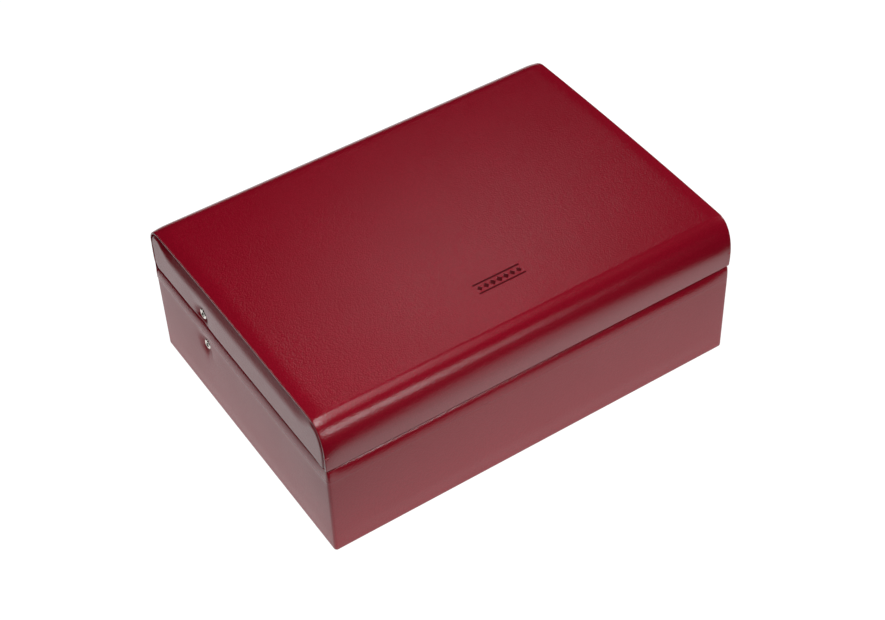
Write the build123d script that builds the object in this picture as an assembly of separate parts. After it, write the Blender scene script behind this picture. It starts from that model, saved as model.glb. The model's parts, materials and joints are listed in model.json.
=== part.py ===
"""Leather jewellery case: a padded box with a hinged lid, a mirror and a tray that lifts by itself.

Millimetres. Origin at the centre of the underside, +X to the right, -Y to the front, +Z up.
The lid turns on a piano hinge along the back. Each tray side has a bracket that hangs from the lid's
rivet and an arm that runs to the base's rivet, so the tray rises level as the lid opens.
"""
from build123d import *
import os

# Driving dimensions
WIDTH = 260.0
DEPTH = 187.0
BASE_TOP = 63.2
LID_BOTTOM = 63.8
LID_SHOULDER = 94.3
LID_CROWN = 95.5
FRONT_BEND = 13.0
BACK_BEND = 12.0

# Layers of a wall, from the outside in
LEATHER = 2.0
BOARD = 4.0
LINING = 1.5
COVER_BOARD = 3.0
COVER_LINING = 1.0
PANEL_FACE = 129.2
PANEL_BACK = 126.6
CHEEK_BACK = 123.4
LINING_FACE = 122.5

# Underside
BOTTOM_COVER = 1.0
FLOOR_TOP = 3.6
FLOOR_LINING_TOP = 5.0
WRAP_FOOT = 0.4
WALL_BOARD_TOP = 62.5
CORNER = 3.0

# Lid hinge
HINGE_Y = DEPTH / 2 - 2.4
HINGE_Z = (BASE_TOP + LID_BOTTOM) / 2
KNUCKLE_R = 1.5
KNUCKLE_RELIEF = 1.8
HINGE_PIN_R = 0.6
LEAF = 0.6
LEAF_GAP = 0.5
LEAF_DEPTH = 5.0
HINGE_LENGTH = 236.0
KNUCKLES = 12
KNUCKLE_GAP = 0.3
EDGE_ROUND = 5.0
STRIP = 0.7
STRIP_REACH = 5.4

# Tray linkage, as places in Y and Z
LID_RIVET = (36.8, 69.9)
BASE_RIVET = (38.0, 45.4)
TRAY_PIN = (
    LID_RIVET[0] + BASE_RIVET[0] - HINGE_Y,
    LID_RIVET[1] + BASE_RIVET[1] - HINGE_Z,
)
SHANK_R = 1.5
FIXED_HOLE_R = 1.55
RUNNING_HOLE_R = 1.58
LID_HEAD_R = 3.2
BASE_HEAD_R = 3.0
INNER_HEAD_R = 3.0
ARM_WIDTH = 8.0

# Distances of the linkage layers from the middle of the case
ARM_OUT = 122.2
ARM_IN = 121.0
BASE_HEAD_IN = 120.1
BRACKET_OUT = 119.5
BRACKET_IN = 118.5
LID_HEAD_OUT = 118.2
LID_HEAD_IN = 117.4
SPACER_IN = 119.8
COLLAR_OUT = 120.7
PIN_END = 122.1

# Tray
TRAY_FRONT = -84.0
TRAY_BACK = 40.0
TRAY_BOTTOM = 36.0
TRAY_FLOOR = 2.5
TRAY_TOP = 61.5
TRAY_WALL = 3.0
TRAY_SPLIT_X = 38.0
TRAY_SPLIT_Y = -22.0
TRAY_DIVIDER_TOP = 59.0
ROLLS = 5
ROLL_TOP = 58.0

# Lower compartments
DIVIDER = 3.0
REAR_DIVIDER_Y = 42.3
REAR_DIVIDER_TOP = 44.0
LOWER_DIVIDER_TOP = 34.5
LOWER_SPLIT_X = 41.0
REAR_SPLIT_X = 62.0

# Mirror
MIRROR_WIDTH = 196.0
MIRROR_DEPTH = 128.0
MIRROR_GLASS = 1.6
MIRROR_FRAME = 8.0
MIRROR_FRAME_THICK = 2.2

# Closure
MAGNET_X = 88.0
MAGNET_WIDTH = 12.0
MAGNET_THICK = 1.8
MAGNET_HEIGHT = 3.0
POCKET_GAP = 0.1

HALF_W = WIDTH / 2
HALF_D = DEPTH / 2
SIDES = {"left": -1, "right": 1}


def block(x, y, z):
    """A box from three (low, high) pairs."""
    size = [high - low for low, high in (x, y, z)]
    middle = [(high + low) / 2 for low, high in (x, y, z)]
    return Pos(*middle) * Box(*size)


def both(half):
    """A range from -half to +half."""
    return (-half, half)


def sideways(side, inner, outer):
    """A range in X on one side of the case, given as distances from its middle."""
    return tuple(sorted((side * inner, side * outer)))


def rod(x, place, radius):
    """A round bar along X through a place in Y and Z."""
    plane = Plane(origin=(x[0], place[0], place[1]), x_dir=(0, 1, 0), z_dir=(1, 0, 0))
    return plane * Cylinder(radius, x[1] - x[0], align=(Align.CENTER, Align.CENTER, Align.MIN))


def head(side, inner, outer, place, radius):
    """A rivet head with a rounded rim on its outer face."""
    disc = rod(sideways(side, inner, outer), place, radius)
    rim = disc.edges().filter_by(GeomType.CIRCLE).sort_by(Axis.X)[-1 if side > 0 else 0]
    return fillet(rim, (outer - inner) * 0.6)


def link(side, inner, outer, start, end, width):
    """A flat bar with round ends between two places in Y and Z."""
    x = sideways(side, inner, outer)
    run = Vector(end[0] - start[0], end[1] - start[1])
    middle = ((start[0] + end[0]) / 2, (start[1] + end[1]) / 2)
    plane = Plane(origin=(x[0], middle[0], middle[1]), x_dir=(0, run.X, run.Y), z_dir=(1, 0, 0))
    bar = extrude(plane * Rectangle(run.length, width), outer - inner)
    return bar + rod(x, start, width / 2) + rod(x, end, width / 2)


def lid_section(inset, half, bottom):
    """The lid's outline, drawn in by inset, as a solid that reaches half to each side."""
    front = -HALF_D + inset
    back = HALF_D - inset
    top = LID_SHOULDER - inset
    with BuildSketch(Plane.YZ) as outline:
        with BuildLine():
            rise = Line((front, bottom), (front, LID_SHOULDER - FRONT_BEND))
            nose = TangentArc(rise @ 1, (-HALF_D + FRONT_BEND, top), tangent=(0, 1))
            roof = ThreePointArc(nose @ 1, (0, LID_CROWN - inset), (HALF_D - BACK_BEND, top))
            heel = TangentArc(roof @ 1, (back, LID_SHOULDER - BACK_BEND), tangent=(1, 0))
            fall = Line(heel @ 1, (back, bottom))
            Line(fall @ 1, rise @ 0)
        make_face()
    return extrude(outline.sketch, half, both=True)


def hinge_clearance(up):
    """Material that the back edge gives up on one side of the joint, +1 in the lid, -1 in the base."""
    edge = BASE_TOP if up < 0 else LID_BOTTOM
    centre = (HALF_D - EDGE_ROUND, edge + up * EDGE_ROUND)
    z = tuple(sorted((edge - up, centre[1])))
    corner = block(both(HALF_W + 1), (centre[0], HALF_D + 1), z)
    corner -= rod(both(HALF_W + 1), centre, EDGE_ROUND)
    return corner + rod(both(HALF_W + 1), (HINGE_Y, HINGE_Z), KNUCKLE_RELIEF)


def strip_clearance():
    """The space the leather hinge strip takes out of the outer leather."""
    reach = STRIP_REACH + 0.2
    return block(both(HALF_W + 1), (HALF_D - STRIP - 0.3, HALF_D + 1), (HINGE_Z - reach, HINGE_Z + reach))


def knuckle_places():
    """The middle and owner of every knuckle; the base owns the first one."""
    pitch = HINGE_LENGTH / KNUCKLES
    return [(-HINGE_LENGTH / 2 + (i + 0.5) * pitch, i % 2 == 0, pitch) for i in range(KNUCKLES)]


def hinge_leaf(up):
    """One leaf of the piano hinge with its knuckles."""
    low = HINGE_Z + up * LEAF_GAP
    z = tuple(sorted((low, low + up * LEAF)))
    leaf = block(both(HINGE_LENGTH / 2), (HINGE_Y - LEAF_DEPTH, HINGE_Y - KNUCKLE_RELIEF), z)
    for middle, base_owns, pitch in knuckle_places():
        if base_owns != (up < 0):
            continue
        x = (middle - pitch / 2 + KNUCKLE_GAP / 2, middle + pitch / 2 - KNUCKLE_GAP / 2)
        leaf += block(x, (HINGE_Y - KNUCKLE_RELIEF - 0.1, HINGE_Y), z)
        leaf += rod(x, (HINGE_Y, HINGE_Z), KNUCKLE_R)
    bore = HINGE_PIN_R + (0.02 if up < 0 else 0.06)
    return leaf - rod(both(HINGE_LENGTH), (HINGE_Y, HINGE_Z), bore)


def base_parts():
    """Boards, leather, linings and dividers of the base."""
    outer_x = HALF_W - LEATHER
    outer_y = HALF_D - LEATHER
    inner_x = outer_x - BOARD
    inner_y = outer_y - BOARD
    face_y = inner_y - LINING
    relief = hinge_clearance(-1)
    wall_z = (FLOOR_TOP, WALL_BOARD_TOP)
    lining_z = (FLOOR_LINING_TOP, BASE_TOP)
    leaf_seat = HINGE_Z - LEAF_GAP - LEAF

    wrap = block(both(HALF_W), both(HALF_D), (WRAP_FOOT, BASE_TOP))
    wrap = fillet(wrap.edges().filter_by(Axis.Z), CORNER)
    wrap -= block(both(outer_x), both(outer_y), (WRAP_FOOT - 1, WALL_BOARD_TOP))
    wrap -= block(both(inner_x), both(inner_y), (WALL_BOARD_TOP - 1, BASE_TOP + 1))
    wrap -= block(both(HINGE_LENGTH / 2 + 1), (inner_y - 1, HALF_D - LEATHER), (leaf_seat, BASE_TOP + 1))
    wrap -= relief + strip_clearance()

    floor = block(both(outer_x), both(outer_y), (BOTTOM_COVER, FLOOR_TOP))
    front = block(both(outer_x), (-outer_y, -inner_y), wall_z)
    back = block(both(outer_x), (inner_y, outer_y), wall_z) - relief
    back -= block(both(HINGE_LENGTH / 2 + 1), (inner_y - 1, outer_y), (leaf_seat, BASE_TOP))
    lining_back = block(both(inner_x), (face_y, inner_y), lining_z)
    lining_back -= block(both(HINGE_LENGTH / 2 + 1), (face_y, inner_y), (leaf_seat, BASE_TOP))

    plates = None
    for x in (-MAGNET_X, MAGNET_X):
        wide = (x - MAGNET_WIDTH / 2, x + MAGNET_WIDTH / 2)
        deep = (-outer_y + 1.0, -outer_y + 1.0 + MAGNET_THICK)
        tall = (WALL_BOARD_TOP - MAGNET_HEIGHT, WALL_BOARD_TOP)
        plate = block(wide, deep, tall)
        plates = plate if plates is None else plates + plate
        pocket = block(
            (wide[0] - POCKET_GAP, wide[1] + POCKET_GAP),
            (deep[0] - POCKET_GAP, deep[1] + POCKET_GAP),
            (tall[0] - POCKET_GAP, tall[1]),
        )
        front -= pocket

    parts = {
        "base_bottom_cover": block(both(outer_x - 1), both(outer_y - 1), (0, BOTTOM_COVER)),
        "base_floor_board": floor,
        "base_front_board": front,
        "base_back_board": back,
        "base_floor_lining": block(both(inner_x), both(inner_y), (FLOOR_TOP, FLOOR_LINING_TOP)),
        "base_front_lining": block(both(inner_x), (-inner_y, -face_y), lining_z),
        "base_back_lining": lining_back,
        "base_strike_plates": plates,
    }
    for name, side in SIDES.items():
        hole = rod(sideways(side, BASE_HEAD_IN, HALF_W), BASE_RIVET, FIXED_HOLE_R)
        dimple = rod(sideways(side, outer_x, HALF_W + 1), BASE_RIVET, BASE_HEAD_R + 0.2)
        wrap -= dimple
        parts[f"base_{name}_board"] = block(sideways(side, inner_x, outer_x), both(inner_y), wall_z) - hole
        lining = block(sideways(side, LINING_FACE, inner_x), both(face_y), lining_z)
        parts[f"base_{name}_lining"] = lining - hole
        parts[f"base_rivet_{name}"] = base_rivet(side)
    parts["base_leather_wrap"] = wrap
    parts.update(base_dividers(face_y))
    return parts


def base_dividers(face_y):
    """Velvet covered dividers that stand on the base's floor lining."""
    rear = (REAR_DIVIDER_Y, REAR_DIVIDER_Y + DIVIDER)
    low = (FLOOR_LINING_TOP, LOWER_DIVIDER_TOP)
    high = (FLOOR_LINING_TOP, REAR_DIVIDER_TOP)
    parts = {"rear_divider": block(both(LINING_FACE), rear, high)}
    for name, side in SIDES.items():
        x = sideways(side, LOWER_SPLIT_X, LOWER_SPLIT_X + DIVIDER)
        parts[f"lower_divider_{name}"] = block(x, (-face_y, rear[0]), low)
        x = sideways(side, REAR_SPLIT_X, REAR_SPLIT_X + DIVIDER)
        parts[f"rear_compartment_divider_{name}"] = block(x, (rear[1], face_y), high)
    return parts


def base_rivet(side):
    """The rivet that an arm turns on: cap outside, shank through the wall, head inside."""
    cap = head(side, HALF_W - LEATHER, HALF_W - LEATHER + 1.2, BASE_RIVET, BASE_HEAD_R)
    shank = rod(sideways(side, BASE_HEAD_IN, HALF_W - LEATHER + 0.2), BASE_RIVET, SHANK_R)
    return cap + shank + rod(sideways(side, BASE_HEAD_IN, ARM_IN - 0.1), BASE_RIVET, INNER_HEAD_R)


def lid_rivet(side):
    """The rivet that the tray's bracket hangs from."""
    cap = head(side, PANEL_BACK, PANEL_BACK + 2.7, LID_RIVET, LID_HEAD_R)
    shank = rod(sideways(side, LID_HEAD_IN, PANEL_BACK + 0.2), LID_RIVET, SHANK_R)
    return cap + shank + rod(sideways(side, LID_HEAD_IN, LID_HEAD_OUT), LID_RIVET, INNER_HEAD_R)


def lid_parts():
    """Cover, cheeks, leather, linings and mirror of the lid."""
    relief = hinge_clearance(1)
    board_in = LEATHER + COVER_BOARD
    lining_in = board_in + COVER_LINING
    below = LID_BOTTOM - 1
    leaf_seat = HINGE_Z + LEAF_GAP + LEAF
    seat = block(both(HINGE_LENGTH / 2 + 1), (HINGE_Y - LEAF_DEPTH - 0.2, HALF_D - LEATHER), (below, leaf_seat))

    leather = lid_section(0, HALF_W, LID_BOTTOM) - lid_section(LEATHER, HALF_W + 1, below)
    leather -= relief + strip_clearance()
    board = lid_section(LEATHER, PANEL_BACK, LID_BOTTOM + 0.6) - lid_section(board_in, PANEL_BACK + 1, below)
    board -= relief + seat
    lining = lid_section(board_in, CHEEK_BACK, LID_BOTTOM) - lid_section(lining_in, CHEEK_BACK + 1, below)
    lining -= seat

    magnets = None
    for x in (-MAGNET_X, MAGNET_X):
        wide = (x - MAGNET_WIDTH / 2, x + MAGNET_WIDTH / 2)
        deep = (-HALF_D + LEATHER + 0.6, -HALF_D + LEATHER + 0.6 + MAGNET_THICK)
        tall = (LID_BOTTOM + 0.6, LID_BOTTOM + 0.6 + MAGNET_HEIGHT)
        magnet = block(wide, deep, tall)
        magnets = magnet if magnets is None else magnets + magnet
        board -= block(
            (wide[0] - POCKET_GAP, wide[1] + POCKET_GAP),
            (deep[0] - POCKET_GAP, deep[1] + POCKET_GAP),
            (tall[0], tall[1] + POCKET_GAP),
        )

    parts = {
        "lid_leather_cover": leather,
        "lid_cover_board": board,
        "lid_lining": lining,
        "lid_magnets": magnets,
    }
    parts.update(mirror_parts(LID_SHOULDER - lining_in))
    for name, side in SIDES.items():
        hole = rod(sideways(side, SPACER_IN, PANEL_BACK), LID_RIVET, FIXED_HOLE_R)
        sink = rod(sideways(side, PANEL_BACK, PANEL_FACE + 1), LID_RIVET, LID_HEAD_R + 0.2)
        panel = lid_section(LEATHER, PANEL_FACE, LID_BOTTOM) & block(
            sideways(side, PANEL_BACK, PANEL_FACE), both(HALF_D), (LID_BOTTOM, LID_CROWN)
        )
        cheek = lid_section(board_in, PANEL_BACK, LID_BOTTOM) & block(
            sideways(side, CHEEK_BACK, PANEL_BACK), both(HALF_D), (LID_BOTTOM, LID_CROWN)
        )
        cheek_lining = lid_section(lining_in, CHEEK_BACK, LID_BOTTOM) & block(
            sideways(side, LINING_FACE, CHEEK_BACK), both(HALF_D), (LID_BOTTOM, LID_CROWN)
        )
        spacer = rod(sideways(side, SPACER_IN, LINING_FACE), LID_RIVET, INNER_HEAD_R)
        parts[f"lid_end_panel_{name}"] = panel - sink - relief
        parts[f"lid_cheek_{name}"] = cheek - hole - relief
        parts[f"lid_cheek_lining_{name}"] = cheek_lining - hole - relief
        parts[f"lid_spacer_{name}"] = spacer - hole
        parts[f"lid_rivet_{name}"] = lid_rivet(side)
    return parts


def mirror_parts(ceiling):
    """A mirror in a thin frame under the lid's lining."""
    z_glass = (ceiling - MIRROR_GLASS, ceiling)
    z_frame = (ceiling - MIRROR_FRAME_THICK, ceiling)
    half_w = MIRROR_WIDTH / 2
    half_d = MIRROR_DEPTH / 2
    glass = block(both(half_w), both(half_d), z_glass)
    frame = block(both(half_w + MIRROR_FRAME), both(half_d + MIRROR_FRAME), z_frame)
    frame = fillet(frame.edges().filter_by(Axis.Z), MIRROR_FRAME)
    frame -= block(both(half_w), both(half_d), (ceiling - 9, ceiling + 9))
    return {"mirror_glass": glass, "mirror_frame": frame}


def tray_parts():
    """The lift-up tray with its ring rolls, side brackets and pivot pins."""
    floor_top = TRAY_BOTTOM + TRAY_FLOOR
    wall_z = (floor_top, TRAY_TOP)
    inner_x = BRACKET_IN - TRAY_WALL
    inner_front = TRAY_FRONT + TRAY_WALL
    inner_back = TRAY_BACK - TRAY_WALL
    full_y = (TRAY_FRONT, TRAY_BACK)
    split_y = (TRAY_SPLIT_Y, TRAY_SPLIT_Y + DIVIDER)
    divider_z = (floor_top, TRAY_DIVIDER_TOP)
    right_split = (TRAY_SPLIT_X, TRAY_SPLIT_X + DIVIDER)
    left_split = (-TRAY_SPLIT_X - DIVIDER, -TRAY_SPLIT_X)
    parts = {
        "tray_floor": block(both(BRACKET_IN), full_y, (TRAY_BOTTOM, floor_top)),
        "tray_front_wall": block(both(BRACKET_IN), (TRAY_FRONT, inner_front), wall_z),
        "tray_back_wall": block(both(BRACKET_IN), (inner_back, TRAY_BACK), wall_z),
        "tray_divider_left": block(left_split, (inner_front, inner_back), divider_z),
        "tray_divider_right": block(right_split, (inner_front, inner_back), divider_z),
        "tray_divider_middle": block((left_split[1], right_split[0]), split_y, divider_z),
        "tray_ring_rolls": ring_rolls(right_split[1], inner_x, (inner_front, inner_back), floor_top),
    }
    rivets = None
    rivet_y = (LID_RIVET[0] - 4, TRAY_PIN[0] + 14)
    rivet_z = TRAY_PIN[1]
    for name, side in SIDES.items():
        wall = block(sideways(side, inner_x, BRACKET_IN), (inner_front, inner_back), wall_z)
        bar_end = (LID_RIVET[0], TRAY_PIN[1])
        bracket = link(side, BRACKET_IN, BRACKET_OUT, TRAY_PIN, bar_end, ARM_WIDTH)
        bracket += link(side, BRACKET_IN, BRACKET_OUT, bar_end, LID_RIVET, ARM_WIDTH)
        bracket -= rod(sideways(side, LID_HEAD_IN, ARM_OUT), LID_RIVET, RUNNING_HOLE_R)
        bracket -= rod(sideways(side, LID_HEAD_IN, ARM_OUT), TRAY_PIN, FIXED_HOLE_R)
        for y in rivet_y:
            place = (y, rivet_z)
            hole = rod(sideways(side, inner_x, ARM_OUT), place, 1.05)
            wall -= hole
            bracket -= hole
            rivet = rod(sideways(side, inner_x, BRACKET_OUT + 0.1), place, 1.0)
            rivet += head(side, BRACKET_OUT, BRACKET_OUT + 0.5, place, 1.9)
            rivets = rivet if rivets is None else rivets + rivet
        pin = rod(sideways(side, BRACKET_IN, PIN_END), TRAY_PIN, SHANK_R)
        pin += rod(sideways(side, BRACKET_OUT, COLLAR_OUT), TRAY_PIN, SHANK_R + 1.1)
        parts[f"tray_{name}_wall"] = wall
        parts[f"tray_bracket_{name}"] = bracket
        parts[f"tray_pin_{name}"] = pin
    parts["tray_bracket_rivets"] = rivets
    return parts


def ring_rolls(left, right, y, floor_top):
    """Padded rolls, side by side, that hold rings in the grooves between them."""
    pitch = (y[1] - y[0]) / ROLLS
    gap = 0.6
    rolls = None
    for i in range(ROLLS):
        low = y[0] + i * pitch + gap / 2
        roll = block((left + 0.3, right - 0.3), (low, low + pitch - gap), (floor_top, ROLL_TOP))
        top = roll.faces().sort_by(Axis.Z)[-1].edges().filter_by(Axis.X)
        roll = fillet(top, pitch * 0.44)
        rolls = roll if rolls is None else rolls + roll
    return rolls


def arm(side):
    """The arm from the base's rivet to the tray's pin."""
    bar = link(side, ARM_IN, ARM_OUT, BASE_RIVET, TRAY_PIN, ARM_WIDTH)
    for place in (BASE_RIVET, TRAY_PIN):
        bar -= rod(sideways(side, ARM_IN - 1, ARM_OUT + 1), place, RUNNING_HOLE_R)
    return bar


def hinge_parts():
    """Piano hinge and the leather that covers it."""
    strip_y = (HALF_D - STRIP - 0.1, HALF_D - 0.1)
    strip_z = (HINGE_Z - STRIP_REACH, HINGE_Z + STRIP_REACH)
    return {
        "hinge_base_leaf": hinge_leaf(-1),
        "hinge_lid_leaf": hinge_leaf(1),
        "hinge_pin": rod(both(HINGE_LENGTH / 2), (HINGE_Y, HINGE_Z), HINGE_PIN_R),
        "hinge_leather_strip": block(both(HALF_W - 0.5), strip_y, strip_z),
    }


def main():
    parts = {}
    parts.update(base_parts())
    parts.update(hinge_parts())
    parts.update(lid_parts())
    parts.update(tray_parts())
    for name, side in SIDES.items():
        parts[f"arm_{name}"] = arm(side)
    os.makedirs("parts", exist_ok=True)
    for name, shape in parts.items():
        export_step(shape, f"parts/{name}.step")


main()
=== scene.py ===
"""Leather jewellery case: padded leather, lining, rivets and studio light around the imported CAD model."""
import json
import math

import bmesh
import bpy
import numpy as np
from mathutils import Matrix, Vector


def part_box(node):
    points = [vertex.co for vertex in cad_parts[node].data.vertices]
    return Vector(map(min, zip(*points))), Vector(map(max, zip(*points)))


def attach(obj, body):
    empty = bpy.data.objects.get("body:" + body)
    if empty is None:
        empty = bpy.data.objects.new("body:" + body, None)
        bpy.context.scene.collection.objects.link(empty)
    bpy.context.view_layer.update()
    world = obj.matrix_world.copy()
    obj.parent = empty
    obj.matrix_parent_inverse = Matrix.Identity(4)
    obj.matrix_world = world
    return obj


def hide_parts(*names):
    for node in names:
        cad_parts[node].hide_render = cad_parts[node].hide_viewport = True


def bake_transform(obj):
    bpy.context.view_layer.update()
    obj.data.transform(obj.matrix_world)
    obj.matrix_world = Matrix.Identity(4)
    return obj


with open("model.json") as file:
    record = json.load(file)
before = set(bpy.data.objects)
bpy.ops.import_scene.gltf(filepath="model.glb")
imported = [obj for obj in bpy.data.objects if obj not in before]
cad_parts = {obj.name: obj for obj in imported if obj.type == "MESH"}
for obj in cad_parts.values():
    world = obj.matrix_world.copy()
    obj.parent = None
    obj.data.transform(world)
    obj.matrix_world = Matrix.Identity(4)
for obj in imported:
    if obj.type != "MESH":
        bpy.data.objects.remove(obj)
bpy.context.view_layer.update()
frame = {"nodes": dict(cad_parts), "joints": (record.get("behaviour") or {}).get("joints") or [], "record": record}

# The scene is written in millimetres and scaled on the way into Blender.
MM = 0.001
SIDES = {"left": -1, "right": 1}


def node_box(node):
    """A node's lowest and highest corner, in millimetres."""
    low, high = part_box(node)
    return np.array(low) / MM, np.array(high) / MM


COVER_LOW, COVER_HIGH = node_box("lid_leather_cover")
HALF_W, HALF_D, BASE_TOP = node_box("base_leather_wrap")[1]
LID_BOTTOM = COVER_LOW[2]
LID_CROWN = COVER_HIGH[2]
CROWN_RISE = 1.2
LID_SHOULDER = LID_CROWN - CROWN_RISE
HINGE = (frame["joints"][0]["pos_m"][1] / MM, frame["joints"][0]["pos_m"][2] / MM)

# Leather over the boards: its thickness with the padding, the depth and height of the lid's front bend,
# the radius at the lid's back, how far the lid's front leans in at its foot, the turn under its back edge,
# and how near it comes to the hinge's axis.
SKIN = 1.9
FRONT_BEND = (12.0, 20.0)
BACK_BEND = 12.0
FRONT_LEAN = 0.6
BACK_EDGE_ROUND = 5.0
KNUCKLE_CLEAR = 1.75


def rivet_place(node):
    """The centre of a rivet in Y and Z, and the X of its cap's outer face."""
    low, high = node_box(node)
    outer = low[0] if abs(low[0]) > abs(high[0]) else high[0]
    return (low[1] + high[1]) / 2, (low[2] + high[2]) / 2, outer


# ---------------------------------------------------------------- mesh helpers

def new_object(name, points, faces, material=None, smooth=True):
    """A mesh object from points in millimetres."""
    mesh = bpy.data.meshes.new(name)
    mesh.from_pydata((np.asarray(points) * MM).tolist(), [], faces)
    mesh.polygons.foreach_set("use_smooth", [smooth] * len(mesh.polygons))
    mesh.update()
    piece = bpy.data.objects.new(name, mesh)
    bpy.context.scene.collection.objects.link(piece)
    if material:
        mesh.materials.append(material)
    return piece


def quads(index, flip=False):
    """Quads over a grid of vertex indices."""
    a, b, c, d = index[:-1, :-1], index[:-1, 1:], index[1:, 1:], index[1:, :-1]
    order = (d, c, b, a) if flip else (a, b, c, d)
    return np.stack(order, axis=-1).reshape(-1, 4).tolist()


def weld(piece):
    """Joins points that lie on each other, as where rings close on a line."""
    work = bmesh.new()
    work.from_mesh(piece.data)
    bmesh.ops.remove_doubles(work, verts=work.verts, dist=0.02 * MM)
    bmesh.ops.recalc_face_normals(work, faces=work.faces)
    work.to_mesh(piece.data)
    work.free()
    piece.data.polygons.foreach_set("use_smooth", [True] * len(piece.data.polygons))


def slab(name, outer, inner, material, ring=False, shut=False):
    """A closed skin between two grids of points with the same shape. A ring's rows join end to end.

    The last rows of a shut skin close on themselves, so no wall is needed between them.
    """
    rows, columns = outer.shape[:2]
    count = rows * columns
    top = np.arange(count).reshape(rows, columns)
    under = top + count
    if ring:
        top = np.concatenate([top, top[:, :1]], axis=1)
        under = np.concatenate([under, under[:, :1]], axis=1)
    faces = quads(top) + quads(under, flip=True)
    faces += quads(np.stack([under[0], top[0]]))
    if not shut:
        faces += quads(np.stack([top[-1], under[-1]]))
    if not ring:
        faces += quads(np.stack([top[:, 0], under[:, 0]]))
        faces += quads(np.stack([under[:, -1], top[:, -1]]))
    points = np.concatenate([outer.reshape(-1, 3), inner.reshape(-1, 3)])
    return new_object(name, points, faces, material)


def spaced(low, high, step, fine=()):
    """Places from low to high about a step apart, closer inside each (low, high, step) of fine."""
    edges = sorted({low, high, *(min(max(e, low), high) for f in fine for e in f[:2])})
    places = [low]
    for a, b in zip(edges[:-1], edges[1:]):
        local = min([step] + [f[2] for f in fine if f[0] <= (a + b) / 2 <= f[1]])
        count = max(1, math.ceil((b - a) / local - 1e-9))
        places += list(np.linspace(a, b, count + 1)[1:])
    return np.array(places)


def arc(centre, radii, start, end, step):
    """Points on an elliptical arc in degrees."""
    reach = abs(math.radians(end - start)) * max(radii)
    angles = np.radians(np.linspace(start, end, max(3, math.ceil(reach / step) + 1)))
    return [(centre[0] + radii[0] * math.cos(a), centre[1] + radii[1] * math.sin(a)) for a in angles]


def line(start, end, step):
    """Points on a straight run."""
    count = max(1, math.ceil(math.dist(start, end) / step))
    start, run = np.array(start), np.array(end) - np.array(start)
    return [tuple(start + run * i / count) for i in range(count + 1)]


def joined(*runs):
    """Runs of points end to end, without repeats."""
    points = [runs[0][0]]
    for run in runs:
        points += [p for p in run if math.dist(p, points[-1]) > 1e-6]
    return np.array(points)


def normals_of(path):
    """Unit normals of a path in a plane, to the left of its direction."""
    run = np.gradient(path, axis=0)
    run /= np.linalg.norm(run, axis=1)[:, None]
    return np.stack([-run[:, 1], run[:, 0]], axis=1)


def ease(t):
    """0 to 1 with level ends."""
    t = np.clip(t, 0, 1)
    return t * t * (3 - 2 * t)


def rim(distance, radius):
    """How far a rounded rim has dropped at a distance from its edge."""
    inside = np.clip(radius - distance, 0, radius)
    return radius - np.sqrt(radius * radius - inside * inside)


# Padding round a rivet: the radius held flat by its cap, how steeply it rises from there, the share and the
# reach of the broad hollow, and over what radii the creases grow and fade.
RIVET_SEAT = 3.3
PRESS_POWER = 1.6
HOLLOW_SHARE = 0.28
HOLLOW_REACH = 11.0
CREASE_GROWTH = 2.0
CREASE_FULL = 4.0
CREASE_FADE = 5.5

# Creases as (angle in degrees, height, spread in degrees).
BASE_CREASES = ((155, 0.32, 13), (118, -0.30, 12), (84, 0.22, 12), (40, -0.14, 15), (-15, 0.16, 20),
                (-68, 0.30, 16), (-100, -0.20, 14), (-150, -0.22, 16))
LID_CREASES = ((150, 0.14, 14), (115, -0.12, 14), (60, 0.10, 18), (-30, -0.08, 20), (200, -0.10, 16))


def pucker(y, z, seat, depth, width, creases):
    """Padding pressed in round a rivet's seat, with soft creases running out of it."""
    dy, dz = y - seat[0], z - seat[1]
    r = np.hypot(dy, dz)
    around = np.arctan2(dz, dy)
    press = -depth * np.exp(-(np.clip(r - RIVET_SEAT, 0, None) / width) ** PRESS_POWER)
    broad = -HOLLOW_SHARE * depth * np.exp(-(r / HOLLOW_REACH) ** 2)
    fold = np.zeros_like(r)
    for angle, height, spread in creases:
        turn = np.angle(np.exp(1j * (around - math.radians(angle))))
        fold += height * np.exp(-(turn / math.radians(spread)) ** 2)
    growth = ease((r - RIVET_SEAT) / CREASE_GROWTH)
    fade = growth * np.exp(-(np.clip(r - CREASE_FULL, 0, None) / CREASE_FADE) ** 2)
    return press + broad + fold * fade


def finish_leather(piece, body, fill, *nodes):
    """Hangs a padded leather piece on the body that it rides on, and hides the CAD nodes that it stands for."""
    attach(piece, body)
    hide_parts(*nodes)


# ---------------------------------------------------------------- base leather

FRONT_CORNER = 1.9
BACK_CORNER = 1.2
CORNER_POINTS = 9

# The roll along the top: how far in and down it runs, and how far its top lies under the CAD wrap's. It
# narrows to CORNER_ROLL of its width at the front corners, within about CORNER_REACH of them.
TOP_ROLL = (3.1, 8.0)
TOP_GAP = 0.05
CORNER_ROLL = 0.27
CORNER_REACH = 9.0

# The foot, the turned-in edges, and how far the hems' inner faces lie inside the leather at foot and top.
FOOT_ROLL = 1.8
FOOT = 0.45
TURN_IN = 6.0
FOOT_TURN_IN = 4.5
HEM_FOOT = 0.1
HEM_TOP = 0.65

# Along the back the top is pressed down by BACK_PRESS: it starts BACK_START in front of the outer face, grows
# over BACK_GROWTH, and reaches BACK_DEPTH down.
BACK_PRESS = 0.48
BACK_START = 8.0
BACK_GROWTH = 5.0
BACK_DEPTH = 4.0

# The padding stands out by PAD_SWELL, less towards the top, the foot and the upright corners. The dent round
# a rivet has a depth and a width.
PAD_SWELL = 0.5
SWELL_FOOT = 3.0
SWELL_GROWTH = 12.0
SWELL_CORNER = 14.0
BASE_DENT = (1.7, 3.0)

# Finer mesh above this height and this near to the rivets.
FINE_HEIGHT = 28.0
RIVET_FIELD = 17.0


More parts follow.
